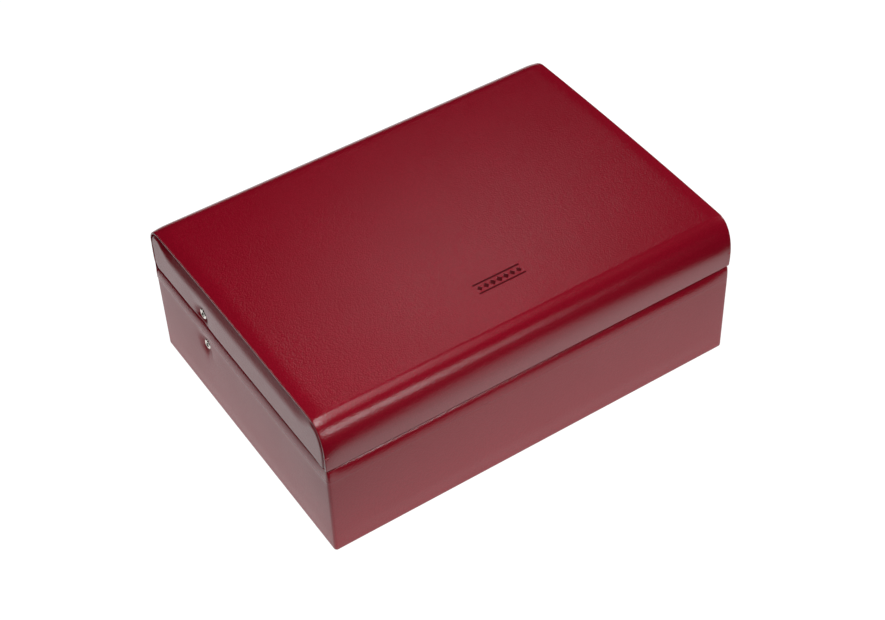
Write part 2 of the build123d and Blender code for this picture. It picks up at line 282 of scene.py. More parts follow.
def base_section():
    """The wrap's section, from under the foot to the lining: (distance in from the outer face, height)."""
    top = BASE_TOP - TOP_GAP
    return joined(
        line((FOOT_TURN_IN, FOOT), (FOOT_ROLL, FOOT), 1.0),
        arc((FOOT_ROLL, FOOT + FOOT_ROLL), (-FOOT_ROLL, FOOT_ROLL), -90, 0, 0.5),
        line((0, FOOT + FOOT_ROLL), (0, FINE_HEIGHT), 2.0),
        line((0, FINE_HEIGHT), (0, top - TOP_ROLL[1]), 0.7),
        arc((TOP_ROLL[0], top - TOP_ROLL[1]), (-TOP_ROLL[0], TOP_ROLL[1]), 0, 90, 0.6),
        line((TOP_ROLL[0], top), (TURN_IN, top), 0.8),
    )


def base_outline():
    """The wrap's plan as rows of x, y, outward x, outward y, distance to the nearest corner."""
    rivet_y = rivet_place("base_rivet_left")[0]
    fine = [(rivet_y - RIVET_FIELD, rivet_y + RIVET_FIELD, 0.6)]
    front_x, back_x = HALF_W - FRONT_CORNER, HALF_W - BACK_CORNER
    front_y, back_y = FRONT_CORNER - HALF_D, HALF_D - BACK_CORNER
    side = [(y, min(y - front_y, back_y - y)) for y in spaced(front_y, back_y, 2.0, fine)]
    rows = [(x, -HALF_D, 0, -1, front_x - abs(x)) for x in spaced(-front_x, front_x, 2.2)]
    rows += corner_rows(front_x, front_y, -90, FRONT_CORNER)
    rows += [(HALF_W, y, 1, 0, corner) for y, corner in side]
    rows += corner_rows(back_x, back_y, 0, BACK_CORNER)
    rows += [(x, HALF_D, 0, 1, back_x - abs(x)) for x in spaced(-back_x, back_x, 2.2)[::-1]]
    rows += corner_rows(-back_x, back_y, 90, BACK_CORNER)
    rows += [(-HALF_W, y, -1, 0, corner) for y, corner in side[::-1]]
    rows += corner_rows(-front_x, front_y, 180, FRONT_CORNER)
    return np.array(rows)


def corner_rows(x, y, start, radius):
    """Rows round one upright corner."""
    rows = []
    for angle in np.radians(np.linspace(start, start + 90, CORNER_POINTS)[1:-1]):
        out = (math.cos(angle), math.sin(angle))
        rows.append((x + radius * out[0], y + radius * out[1], out[0], out[1], 0))
    return rows


def off_the_knuckles(points):
    """Leather kept clear of the hinge's knuckles."""
    dy, dz = points[..., 1] - HINGE[0], points[..., 2] - HINGE[1]
    r = np.maximum(np.hypot(dy, dz), 1e-6)
    push = np.where(r < KNUCKLE_CLEAR, KNUCKLE_CLEAR / r, 1.0)
    moved = points.copy()
    moved[..., 1] = HINGE[0] + dy * push
    moved[..., 2] = HINGE[1] + dz * push
    return moved


def pressed_at_back(points):
    """Leather pressed down along the back, where the open lid leans over it."""
    back = ease((points[..., 1] - HALF_D + BACK_START) / BACK_GROWTH)
    near = back * ease((points[..., 2] - BASE_TOP + BACK_DEPTH) / BACK_DEPTH)
    moved = points.copy()
    moved[..., 2] -= BACK_PRESS * near
    return moved


def drawn_tight(inset, height, y, corner):
    """How far in each place lies once the roll along the top is drawn tighter towards the front corners."""
    near = np.exp(-corner / CORNER_REACH) * (y < 0)
    slack = 1 - (1 - CORNER_ROLL) * near
    rolled = TOP_ROLL[0] * slack
    flat = rolled + (inset - TOP_ROLL[0]) * (TURN_IN - rolled) / (TURN_IN - TOP_ROLL[0])
    drawn = np.where(inset > TOP_ROLL[0], flat, inset * slack)
    return np.where(height > BASE_TOP / 2, drawn, inset)


def mitred(x, y, reach):
    """Places held back to the lines along which two walls' skins meet at a corner."""
    return np.clip(x, -HALF_W - reach, HALF_W + reach), np.clip(y, -HALF_D - reach, HALF_D + reach)


def base_swell(height, y, out_x, corner):
    """How far the base's padding stands out, pressed in round the rivet of the wall that it is on."""
    wall = ease((height - SWELL_FOOT) / SWELL_GROWTH) * ease((BASE_TOP - height) / SWELL_GROWTH)
    swell = PAD_SWELL * wall * (1 - np.exp(-corner / SWELL_CORNER))
    for node in ("base_rivet_left", "base_rivet_right"):
        seat = rivet_place(node)
        facing = np.isclose(out_x, np.sign(seat[2]))
        swell = swell + facing * pucker(y, height, seat, *BASE_DENT, BASE_CREASES)
    return swell


def base_leather(material):
    """Padded leather round the four walls, turned over their tops and under the foot."""
    section = base_section()
    plan = base_outline()
    inset = section[:, 0][:, None]
    height = section[:, 1][:, None]
    x, y, out_x, out_y, corner = (plan[:, k][None, :] for k in range(5))
    reach = base_swell(height, y, out_x, corner) - drawn_tight(inset, height, y, corner)
    outer_x, outer_y = mitred(x + out_x * reach, y + out_y * reach, reach)
    outer = np.stack(np.broadcast_arrays(outer_x, outer_y, height), axis=-1)
    board = np.clip(inset, SKIN, None)
    inner_x, inner_y = mitred(x - out_x * board, y - out_y * board, -board)
    under = np.clip(height, FOOT + HEM_FOOT, BASE_TOP - HEM_TOP)
    inner = np.stack(np.broadcast_arrays(inner_x, inner_y, under), axis=-1)
    piece = slab("base_leather", off_the_knuckles(pressed_at_back(outer)), inner, material, ring=True)
    weld(piece)
    finish_leather(piece, "base", 0.35, "base_leather_wrap")


# ---------------------------------------------------------------- lid leather

LID_FOLD = 0.7

# The cover's padding: how far it stands out, how wide its ends roll off and by how much, and where its swell
# begins at the front and at the back, as (start above the lid's edge, growth).
TOP_SWELL = 0.4
EDGE_ROLL = 9.0
EDGE_DROP = 0.45
FRONT_GROWTH = (1.0, 14.0)
BACK_LIFT = (8.0, 12.0)

# The cover's ends: a rounded rim, and a thinner skin within RIM_WIDTH of it, where the end panel fits under.
# The skin is as thin across the whole front bend, past BEND_HIGH in Y and Z, and thinnest at the folds,
# which are level within FOLD_LEVEL and FOLD_HEIGHT above the lid's edge.
EDGE_STEPS = (0.0, 0.12, 0.3, 0.55, 1.0, 1.7, 2.6, 3.8, 5.2, 7.0, 9.0)
RIM_R = 0.5
RIM_SKIN = 1.45
RIM_WIDTH = (3.0, 0.8)
BEND_HIGH = (-70.0, 76.0)
BEND_GROWTH = 4.0
FOLD_SKIN = 0.5
FOLD_LEVEL = 0.7
FOLD_HEIGHT = 3.0

# The pressed mark: its middle, depth, half width and half height, mesh, how soft its edges are, from what
# share of its depth it is scorched, how far under the lid's shoulder it fades out, and its shapes.
MARK_X = 2.0
MARK_Y = -55.0
MARK_DEPTH = 0.24
MARK_HALF = (14.6, 4.8)
MARK_MESH = 0.16
MARK_SOFT = 0.28
MARK_SCORCHED = 0.1
MARK_FADE = (3.0, 2.0)
LOZENGES = 7
LOZENGE_SIZE = 1.7
LOZENGE_TAPER = 0.3
LOZENGE_SLANT = 0.85
RULE_HALF = 0.35
RULE_INSET = 1.4
RULE_END = 0.3


def lid_front(y, low, step, inset=0.0):
    """The cover's front in Y and Z, from its fold up to the roof: leaning in at the foot, then a bend."""
    reach, drop = FRONT_BEND[0] - inset, FRONT_BEND[1] - inset
    waist = LID_SHOULDER - FRONT_BEND[1]
    face = [
        (y + FRONT_LEAN * (1 - (z - low) / (waist - low)) ** 2, z)
        for z in spaced(low, waist, 0.8)
    ]
    return face + arc((y + reach, waist), (reach, drop), 180, 90, step)


def lid_roof(inset=0.0):
    """The crowned roof in Y and Z, front to back."""
    front, back = -HALF_D + FRONT_BEND[0], HALF_D - BACK_BEND
    middle, half = (front + back) / 2, (back - front) / 2
    ys = spaced(front, back, 2.0, [(MARK_Y - MARK_HALF[1], MARK_Y + MARK_HALF[1], MARK_MESH)])
    return [(y, LID_CROWN - inset - (LID_CROWN - LID_SHOULDER) * ((y - middle) / half) ** 2) for y in ys]


def lid_path(step):
    """The lid's outline in Y and Z, from its front fold over the top to its back fold."""
    edge = LID_BOTTOM + BACK_EDGE_ROUND
    foot = -HALF_D + FRONT_LEAN
    return joined(
        line((foot + TURN_IN, LID_BOTTOM), (foot + LID_FOLD, LID_BOTTOM), 1.0),
        arc((foot + LID_FOLD, LID_BOTTOM + LID_FOLD), (LID_FOLD, LID_FOLD), 270, 180, 0.25),
        lid_front(-HALF_D, LID_BOTTOM + LID_FOLD, step),
        lid_roof(),
        arc((HALF_D - BACK_BEND, LID_SHOULDER - BACK_BEND), (BACK_BEND, BACK_BEND), 90, 0, 1.0),
        line((HALF_D, LID_SHOULDER - BACK_BEND), (HALF_D, edge), 1.2),
        arc((HALF_D - BACK_EDGE_ROUND, edge), (BACK_EDGE_ROUND, BACK_EDGE_ROUND), 0, -90, 0.6),
        line((HALF_D - BACK_EDGE_ROUND, LID_BOTTOM), (HALF_D - TURN_IN, LID_BOTTOM), 1.0),
    )


def back_lift(z):
    """How much of its swell the lid's back has at a height: none where it turns against the base."""
    return ease((z - LID_BOTTOM - BACK_LIFT[0]) / BACK_LIFT[1])


def mark_height(x, y):
    """A debossed band: a row of lozenges between two fine rules."""
    u, v = x - MARK_X, y - MARK_Y
    pitch = 2 * MARK_HALF[0] / LOZENGES
    number = np.round(u / pitch)
    size = LOZENGE_SIZE - LOZENGE_TAPER * np.abs(number) / (LOZENGES // 2)
    lozenge = size - np.abs((u / pitch - number) * pitch) - np.abs(v) * LOZENGE_SLANT
    rule = RULE_HALF - np.abs(np.abs(v) - (MARK_HALF[1] - RULE_INSET))
    within = MARK_HALF[0] - np.abs(u)
    solid = np.maximum(lozenge, np.minimum(rule, within))
    inside = np.minimum(solid, within + RULE_END)
    return -MARK_DEPTH * ease(inside / MARK_SOFT * 0.5 + 0.5)


def burnish(piece, material):
    """Gives the pressed-in faces of the mark their darker, scorched leather."""
    piece.data.materials.append(material)
    for face in piece.data.polygons:
        x, y, z = face.center / MM
        on_top = z > LID_SHOULDER - SKIN and abs(y - MARK_Y) < 2 * MARK_HALF[1]
        face.material_index = int(on_top and mark_height(x, y) < -MARK_SCORCHED * MARK_DEPTH)


def lid_columns():
    """Places across the lid, close together at its ends and over the mark."""
    left = [-HALF_W + step for step in EDGE_STEPS]
    marked = (MARK_X - MARK_HALF[0] - 1, MARK_X + MARK_HALF[0] + 1, MARK_MESH)
    middle = spaced(left[-1], -left[-1], 2.2, [marked])
    return np.array(left[:-1] + list(middle) + [-x for x in left[:-1]][::-1])


def cover_height(x, y, z):
    """How far the cover stands off its outline: swollen, rolled off at its ends, pressed in at the mark."""
    edge = HALF_W - np.abs(x)
    growth = ease((z - LID_BOTTOM - FRONT_GROWTH[0]) / FRONT_GROWTH[1])
    lift = np.where(y > 0, back_lift(z), growth)
    rolled = (1 - np.clip(edge / EDGE_ROLL, 0, 1)) ** 2
    swell = TOP_SWELL * (1 - rolled) * lift
    drop = EDGE_DROP * rolled * lift + rim(edge, RIM_R)
    on_top = ease((z - LID_SHOULDER + MARK_FADE[0]) / MARK_FADE[1])
    return swell - drop + mark_height(x, y) * on_top


def cover_inside(x, y, z, normal):
    """The cover's inner face in Y and Z, thinner at its folds, along its ends and in the front bend."""
    edge = HALF_W - np.abs(x)
    fold = (np.abs(normal[:, 1:]) > FOLD_LEVEL) & (z < LID_BOTTOM + FOLD_HEIGHT)
    bend = ease((BEND_HIGH[0] - y) / BEND_GROWTH) * ease((z - BEND_HIGH[1]) / BEND_GROWTH)
    thicker = (SKIN - RIM_SKIN) * ease((edge - RIM_WIDTH[0]) / RIM_WIDTH[1])
    fold_skin = FOLD_SKIN + rim(edge, RIM_R)
    skin = np.where(fold, fold_skin, RIM_SKIN + thicker * (1 - bend))
    in_y = np.clip(y - normal[:, :1] * skin, -HALF_D + SKIN, HALF_D - SKIN)
    in_z = np.maximum(z - normal[:, 1:] * skin, LID_BOTTOM + fold_skin)
    return in_y, in_z


def lid_leather(material, burnished):
    """The padded cover: front bullnose, crowned top and back, edge to edge, in one piece."""
    path = lid_path(0.6)
    normal = normals_of(path)
    x = lid_columns()[None, :]
    y, z = path[:, :1], path[:, 1:]
    height = cover_height(x, y, z)
    outer_y, outer_z = y + normal[:, :1] * height, z + normal[:, 1:] * height
    outer = np.stack(np.broadcast_arrays(x, outer_y, outer_z), axis=-1)
    inner = np.stack(np.broadcast_arrays(x, *cover_inside(x, y, z, normal)), axis=-1)
    piece = slab("lid_leather", off_the_knuckles(outer), inner, material)
    burnish(piece, burnished)
    finish_leather(piece, "lid", 0.45, "lid_leather_cover")


# The end panels: the groove round them, their gap and radius at the foot, the X of their face, edge and back,
# the width of their roll along the top and elsewhere, the share of it that is a straight bevel, and the depth
# and width of the dent round their rivets, with how far from the edge it grows.
PANEL_GROOVE = 1.7
PANEL_FOOT = 0.1
PANEL_FOOT_R = 1.0
PANEL_FACE = 130.3
PANEL_RIM = 126.75
PANEL_BACK = 126.62
PANEL_ROLL = (13.5, 2.2)
PANEL_BEVEL = 0.65
PANEL_DENT = (1.9, 2.2)
DENT_GROWTH = 3.0

# The panel's mesh shrinks from its edge to a level spine this far above its foot and inside the lid's front
# and back, through these shares of the way.
SPINE_RISE = 12.5
SPINE_ENDS = (16.0, 15.0)
SPINE_STEP = 2.0
EDGE_SHARES = (1.0, 0.994, 0.985, 0.97, 0.95, 0.92)
FACE_SHARES = (0.885, 22)

# Along the top the roll widens over this distance down and this distance in from the front and back.
TOP_BAND = 9.0
TOP_ENDS = (4.0, 22.0)


def panel_outline():
    """The end panel's edge in Y and Z, counter-clockwise seen from +X."""
    g = PANEL_GROOVE
    foot, back = -HALF_D + g, HALF_D - g
    edge = LID_BOTTOM + BACK_EDGE_ROUND
    floor = LID_BOTTOM + PANEL_FOOT
    low = floor + PANEL_FOOT_R
    toe = foot + FRONT_LEAN + PANEL_FOOT_R
    back_r = BACK_BEND - g
    path = joined(
        [(y, floor) for y in spaced(toe, back - BACK_EDGE_ROUND, 1.2)],
        arc((back - BACK_EDGE_ROUND, edge), (BACK_EDGE_ROUND, edge - floor), -90, 0, 0.8),
        line((back, edge), (back, LID_SHOULDER - BACK_BEND), 1.0),
        arc((HALF_D - BACK_BEND, LID_SHOULDER - BACK_BEND), (back_r, back_r), 0, 90, 0.9),
        lid_roof(g)[::-1],
        lid_front(foot, low, 0.9, g)[::-1],
        arc((toe, low), (PANEL_FOOT_R, PANEL_FOOT_R), 180, 270, 0.4),
    )
    return path[:-1]


def panel_rise(t, top):
    """Height of the panel's roll, 0 to 1: round at the sides, a broad straight bevel along the top."""
    round_edge = np.sqrt(1 - (1 - t) ** 2)
    past = np.clip((t - PANEL_BEVEL) / (1 - PANEL_BEVEL), 0, 1)
    run_out = (1 - PANEL_BEVEL) * (past - past ** 2 / 2)
    bevel = (np.minimum(t, PANEL_BEVEL) + run_out) * 2 / (1 + PANEL_BEVEL)
    return round_edge + (bevel - round_edge) * top


def end_panel(name, side, material):
    """A padded end panel that rolls in under the cover's rim, pressed in round its rivet."""
    edge = panel_outline()
    spine_y = np.clip(edge[:, 0], -HALF_D + SPINE_ENDS[0], HALF_D - SPINE_ENDS[1])
    spine_y = np.round(spine_y / SPINE_STEP) * SPINE_STEP
    spine = np.stack([spine_y, np.full(len(edge), LID_BOTTOM + SPINE_RISE)], axis=1)
    span = np.linalg.norm(edge - spine, axis=1)
    top = ease((edge[:, 1] - LID_SHOULDER + TOP_BAND) / TOP_BAND)
    top = top * ease((HALF_D - TOP_ENDS[0] - np.abs(edge[:, 0])) / TOP_ENDS[1])
    roll = PANEL_ROLL[1] + (PANEL_ROLL[0] - PANEL_ROLL[1]) * top
    seat = rivet_place(f"lid_rivet_{name}")
    rings = []
    for share in (*EDGE_SHARES, *np.linspace(FACE_SHARES[0], 0.0, FACE_SHARES[1])):
        y, z = (spine + (edge - spine) * share).T
        inward = span * (1 - share)
        rise = panel_rise(np.clip(inward / roll, 0, 1), top)
        dent = pucker(y, z, seat, *PANEL_DENT, LID_CREASES) * ease(inward / DENT_GROWTH)
        face = PANEL_RIM + (PANEL_FACE - PANEL_RIM) * rise + dent
        rings.append(np.stack([side * face, y, z], axis=1))
    outer = np.array(rings)
    inner = outer.copy()
    inner[..., 0] = side * PANEL_BACK
    if side < 0:
        outer, inner = outer[:, ::-1], inner[:, ::-1]
    piece = slab(f"lid_end_leather_{name}", outer, inner, material, ring=True, shut=True)
    weld(piece)
    finish_leather(piece, "lid", 0.5, f"lid_end_panel_{name}")


# The leather over the hinge: from and to which height, its thickness and least thickness, how far it stands
# proud where it is glued to the base, over what heights that fades, how deep it tucks under the lid's
# leather, and its edges: their radius, their mesh, and how far they stop short of the case's ends.
STRIP_LOW = 53.5
STRIP_HIGH = 72.0
STRIP_SKIN = 1.0
STRIP_THIN = 0.25
STRIP_PROUD = 0.75
STRIP_FADE = (3.0, 7.0)
STRIP_TUCK = (0.05, 0.35, 3.0)
STRIP_RIM = 0.6
STRIP_EDGE = (0.0, 0.12, 0.3, 0.6, 1.1)
STRIP_SHORT = 0.15


def hinge_leather(material):
    """The cover's leather where it runs down over the hinge and is glued to the base's back."""
    edge = LID_BOTTOM + BACK_EDGE_ROUND
    heights = spaced(STRIP_LOW, STRIP_HIGH, 1.0, [(STRIP_LOW, STRIP_LOW + 1.2, 0.2)])
    lift = TOP_SWELL * back_lift(heights)
    proud = STRIP_PROUD * (1 - ease((heights - STRIP_LOW - STRIP_FADE[0]) / STRIP_FADE[1]))
    tuck = STRIP_TUCK[0] + STRIP_TUCK[1] * ease((heights - edge) / STRIP_TUCK[2])
    out = HALF_D + lift + proud - tuck - rim(heights - STRIP_LOW, STRIP_RIM)
    half = HALF_W - STRIP_SHORT
    ends = [half - step for step in STRIP_EDGE]
    x = np.array([-end for end in ends[:-1]] + list(spaced(-ends[-1], ends[-1], 3.0)) + ends[:-1][::-1])
    drop = rim(half - np.abs(x), STRIP_RIM)[None, :]
    outer = np.stack(np.broadcast_arrays(x[None, :], out[:, None] - drop, heights[:, None]), axis=-1)
    back = np.minimum(out - STRIP_THIN, HALF_D + lift - STRIP_SKIN)[:, None]
    inner = np.stack(np.broadcast_arrays(x[None, :], back, heights[:, None]), axis=-1)
    piece = slab("hinge_leather", outer[:, ::-1], inner[:, ::-1], material)
    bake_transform(piece)
    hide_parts("hinge_leather_strip")


# ---------------------------------------------------------------- rivets

def lathe(name, side, place, profile, material):
    """A round piece about X from (radius, distance from the middle) pairs, the outer end first."""
    turns = np.radians(np.linspace(0, 360, 40, endpoint=False))
    across, up = np.cos(turns), np.sin(turns)
    rings = [
        np.stack([np.full_like(turns, side * x), place[0] + r * across, place[1] + r * up], axis=1)
        for r, x in profile
    ]
    points = np.array(rings)
    index = np.arange(len(profile) * len(turns)).reshape(len(profile), -1)
    faces = quads(np.concatenate([index, index[:, :1]], axis=1))
    piece = new_object(name, points.reshape(-1, 3), faces, material)
    weld(piece)
    return piece


# The rivets: their caps' radii, the bore's share of that, how far the rim rolls back, and hollow and shank.
BASE_HEAD = 3.0
LID_HEAD = 3.2
RIVET_BORE = 0.44
RIVET_ROLL = 0.62
RIVET_HOLLOW = 2.6
SHANK = 1.5


def rivet_profile(face, inner, head, bore):
    """A tubular cap rivet's profile: its hollow, rolled rim, shank, and the head inside the case."""
    floor = face - RIVET_HOLLOW
    hollow = [(0.0, floor), (0.8 * bore, floor), (0.93 * bore, floor + 0.2), (0.95 * bore, face - 0.75)]
    rolled = [
        (bore + (head - bore) * (0.5 - 0.5 * math.cos(t)), face - RIVET_ROLL * (1 - math.sin(t)))
        for t in np.linspace(0, math.pi, 13)
    ]
    shank = [(head - 0.25, face - 1.0), (SHANK, face - 1.05), (SHANK, inner + 0.9)]
    tail = [(2.85, inner + 0.85), (3.0, inner + 0.6), (3.0, inner + 0.35), (2.4, inner), (0.0, inner)]
    return hollow + rolled + shank + tail


def rivet(name, side, body, node, head, materials):
    """A cap rivet of plated metal whose hollow is painted near-black as shade, in the place of its CAD node."""
    y, z, outer = rivet_place(node)
    low, high = node_box(node)
    face = abs(outer)
    bore = RIVET_BORE * head
    profile = rivet_profile(face, min(abs(low[0]), abs(high[0])), head, bore)
    piece = lathe(name, side, (y, z), profile, materials["nickel"])
    # The hollow's faces take a near-black metal: painted shade inside the bore.
    piece.data.materials.append(materials["rivet_bore"])
    for polygon in piece.data.polygons:
        x, *around = polygon.center / MM
        in_hollow = math.dist(around, (y, z)) < 0.96 * bore and abs(x) > face - RIVET_HOLLOW - 0.1
        polygon.material_index = int(in_hollow)
    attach(piece, body)
    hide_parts(node)


def rivets(materials):
    """The four rivets that carry the tray's linkage."""
    for name, side in SIDES.items():
        rivet(f"base_cap_rivet_{name}", side, "base", f"base_rivet_{name}", BASE_HEAD, materials)
        rivet(f"lid_cap_rivet_{name}", side, "lid", f"lid_rivet_{name}", LID_HEAD, materials)


# ---------------------------------------------------------------- lining, tray and fittings

# How far each slot's CAD edges are rounded.
EDGES = {
    "velvet": 0.7,
    "leather_trim": 0.9,
    "bottom_cover": 0.3,
    "nickel": 0.15,
    "brass_hinge": 0.08,
    "mirror": 0.2,
}
EDGE_ANGLE = 50

# The ring rolls: their number, the gap between two, how long and how round their ends taper, how much their
# tops sag and how that varies from roll to roll and along each, the pleats at their ends with the depth and
# reach of the gathers, and how square their sides and undersides are.
ROLLS = 5
ROLL_GAP = 0.5
ROLL_END = 7.0
ROLL_ENDS = (0.0, 0.15, 0.5, 1.1, 2.0, 3.2, 4.8, ROLL_END)
ROLL_TAPER = 2.2
ROLL_SAG = 0.025
SAG_VARIES = (2.1, 0.07)
PLEATS = 16
PLEAT_DEPTH = 0.09
PLEAT_REACH = 2.2
ROLL_SIDE = 0.85
ROLL_UNDER = 0.45


def dress(materials):
    """Gives each CAD node the finish of its slot, and covered or broken edges where it has them."""
    for part in frame["record"]["subparts"]:
        node = frame["nodes"][part["node"]]
        slot = part["material_slot"]
        for place in node.material_slots:
            place.material = materials[slot]
        if slot in EDGES:
            edge = node.modifiers.new("edge", "BEVEL")
            edge.width = EDGES[slot] * MM
            edge.segments = 3
            edge.limit_method = "ANGLE"
            edge.angle_limit = math.radians(EDGE_ANGLE)
            edge.harden_normals = False


def ring_roll(number, low, high, material):
    """A padded velvet roll along X: round on top, flat underneath, gathered at its ends."""
    middle, half = (low + high) / 2, (high - low) / 2
    turn = np.radians(np.linspace(0, 360, 64, endpoint=False))
    across, up = np.cos(turn), np.sin(turn)
    bow = np.sign(across) * np.abs(across) ** ROLL_SIDE
    rise = np.where(up > 0, up, -np.abs(up) ** ROLL_UNDER)
    pleats = PLEAT_DEPTH * (0.5 + 0.5 * np.cos(PLEATS * turn))
    xs = [low[0] + end for end in ROLL_ENDS]
    xs += list(spaced(low[0] + ROLL_END, high[0] - ROLL_END, 2.5)[1:-1])
    xs += [high[0] - end for end in ROLL_ENDS[::-1]]
    rings = []
    for x in xs:
        depth = min(x - low[0], high[0] - x)
        full = math.sqrt(1 - (1 - min(depth / ROLL_END, 1)) ** ROLL_TAPER)
        along = 1 + math.cos(math.pi * (x - middle[0]) / half[0])
        sag = 1 - ROLL_SAG * along * math.sin(SAG_VARIES[0] * number + SAG_VARIES[1] * x) ** 2
        gather = 1 - pleats * math.exp(-depth / PLEAT_REACH)
        y = middle[1] + half[1] * full * gather * bow
        z = middle[2] + half[2] * full * gather * rise * np.where(up > 0, sag, 1)
        rings.append(np.stack([np.full_like(turn, x), y, z], axis=1))
    points = np.array(rings)
    index = np.arange(points.shape[0] * points.shape[1]).reshape(points.shape[:2])
    faces = quads(np.concatenate([index, index[:, :1]], axis=1))
    piece = new_object(f"ring_roll_{number}", points.reshape(-1, 3), faces, material)
    weld(piece)
    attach(piece, "tray")
    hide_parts("tray_ring_rolls")


def ring_rolls(material):
    """The rolls side by side in the tray's right compartment."""
    low, high = node_box("tray_ring_rolls")
    pitch = (high[1] - low[1] + ROLL_GAP) / ROLLS
    for number in range(ROLLS):
        near = low[1] + number * pitch
        start = np.array([low[0], near, low[2]])
        end = np.array([high[0], near + pitch - ROLL_GAP, high[2]])
        ring_roll(number + 1, start, end, material)


# ---------------------------------------------------------------- materials

def shader(name):
    """A new material, with a way to link its nodes, its shader, and a way to add nodes with their values."""
    material = bpy.data.materials.new(name)
    material.use_nodes = True
    tree = material.node_tree
    principled = tree.nodes["Principled BSDF"]

    def add(kind, **values):
        node = tree.nodes.new(kind)
        for key, value in values.items():
            if key in node.inputs:
                node.inputs[key].default_value = value
            else:
                setattr(node, key, value)
        return node

    return material, tree.links.new, principled, add


def place_in(add):
    """Object coordinates, which are the row's own metres."""
    return add("ShaderNodeTexCoord").outputs["Object"]


def ramp(add, stops):
    """A colour ramp from (position, colour) pairs."""
    node = add("ShaderNodeValToRGB")
    while len(node.color_ramp.elements) < len(stops):
        node.color_ramp.elements.new(0.5)
    for element, (position, colour) in zip(node.color_ramp.elements, stops):
        element.position = position
        element.color = (*colour, 1.0)
    return node


# Leather: its colours in the creases and on the pebbles, the least and most roughness of each piece, and
# how far below a stretched edge it starts and ends turning smoother, to what share of its roughness.
LEATHER_DARK = (0.215, 0.0016, 0.0105)
LEATHER_LIGHT = (0.275, 0.0028, 0.0165)
COVER_GLOSS = (0.19, 0.24)
PANEL_GLOSS = (0.27, 0.33)
BASE_GLOSS = (0.34, 0.42)
MARK_GLOSS = (0.50, 0.60)
STRETCHED_EDGE = (13.0, 4.0)
STRETCHED_GLOSS = 0.52


def added(add, link, value, share, base):
    """A share of one value on top of another."""
    node = add("ShaderNodeMath", operation="MULTIPLY_ADD")
    node.inputs[1].default_value = share
    link(value, node.inputs[0])
    link(base, node.inputs[2])
    return node.outputs[0]


def mapped(add, link, value, limits):
    """A value from 0 to 1 spread between two limits."""
    node = add("ShaderNodeMapRange")
    node.inputs["To Min"].default_value, node.inputs["To Max"].default_value = limits
    link(value, node.inputs["Value"])
    return node.outputs["Result"]


def stretched_smoother(add, link, where, roughness, edge):
    """Roughness that falls towards an edge at a height, where the leather is stretched over it."""
    height = add("ShaderNodeSeparateXYZ")
    link(where, height.inputs["Vector"])
    smoother = add("ShaderNodeMapRange", interpolation_type="SMOOTHSTEP")
    smoother.inputs["From Min"].default_value = (edge - STRETCHED_EDGE[0]) * MM
    smoother.inputs["From Max"].default_value = (edge - STRETCHED_EDGE[1]) * MM
    smoother.inputs["To Min"].default_value = 1.0
    smoother.inputs["To Max"].default_value = STRETCHED_GLOSS
    link(height.outputs["Z"], smoother.inputs["Value"])
    scaled = add("ShaderNodeMath", operation="MULTIPLY")
    link(roughness, scaled.inputs[0])
    link(smoother.outputs["Result"], scaled.inputs[1])
    return scaled.outputs[0]


def leather_material(name, gloss, shade=1.0, stretched_to=None, specular=0.5):
    """Wine-red full-grain leather: pebbles with darker creases between them, pores, and uneven gloss."""
    material, link, leather, add = shader(name)
    where = place_in(add)
    pebble = add("ShaderNodeTexVoronoi", feature="SMOOTH_F1", Scale=1150.0, Smoothness=0.5, Randomness=0.95)
    fine = add("ShaderNodeTexNoise", Scale=2600.0, Detail=3.0, Roughness=0.6)
    broad = add("ShaderNodeTexNoise", Scale=24.0, Detail=3.0, Roughness=0.5)
    for node in (pebble, fine, broad):
        link(where, node.inputs["Vector"])
    grain = added(add, link, fine.outputs["Fac"], 0.5, pebble.outputs["Distance"])
    bump = add("ShaderNodeBump", Strength=0.5, Distance=0.00014)
    bump.invert = True
    link(grain, bump.inputs["Height"])
    link(bump.outputs["Normal"], leather.inputs["Normal"])
    light, dark = (tuple(shade * part for part in tone) for tone in (LEATHER_LIGHT, LEATHER_DARK))
    colour = ramp(add, [(0.45, light), (1.0, dark)])
    link(added(add, link, broad.outputs["Fac"], 0.45, grain), colour.inputs["Fac"])
    link(colour.outputs["Color"], leather.inputs["Base Color"])
    roughness = mapped(add, link, broad.outputs["Fac"], gloss)
    if stretched_to:
        roughness = stretched_smoother(add, link, where, roughness, stretched_to)
    link(roughness, leather.inputs["Roughness"])
    leather.inputs["IOR"].default_value = 1.48
    leather.inputs["Specular IOR Level"].default_value = specular
    return material


def metal_material(name, colour, roughness, grain, stretch=(1, 1, 1)):
    """Plated or bare metal with faint grinding lines and handling marks."""
    material, link, metal, add = shader(name)
    stretched = add("ShaderNodeMapping")
    stretched.inputs["Scale"].default_value = stretch
    marks = add("ShaderNodeTexNoise", Scale=grain, Detail=4.0, Roughness=0.7)
    link(place_in(add), stretched.inputs["Vector"])
    link(stretched.outputs["Vector"], marks.inputs["Vector"])
    link(mapped(add, link, marks.outputs["Fac"], roughness), metal.inputs["Roughness"])
    tone = ramp(add, [(0.25, tuple(0.88 * c for c in colour)), (0.6, colour)])
    link(marks.outputs["Fac"], tone.inputs["Fac"])
    link(tone.outputs["Color"], metal.inputs["Base Color"])
    metal.inputs["Metallic"].default_value = 1.0
    return material


def mirror_material():
    """Silvered glass with the least trace of dust."""
    return metal_material("silvered_glass", (0.90, 0.91, 0.92), (0.012, 0.035), 60.0)


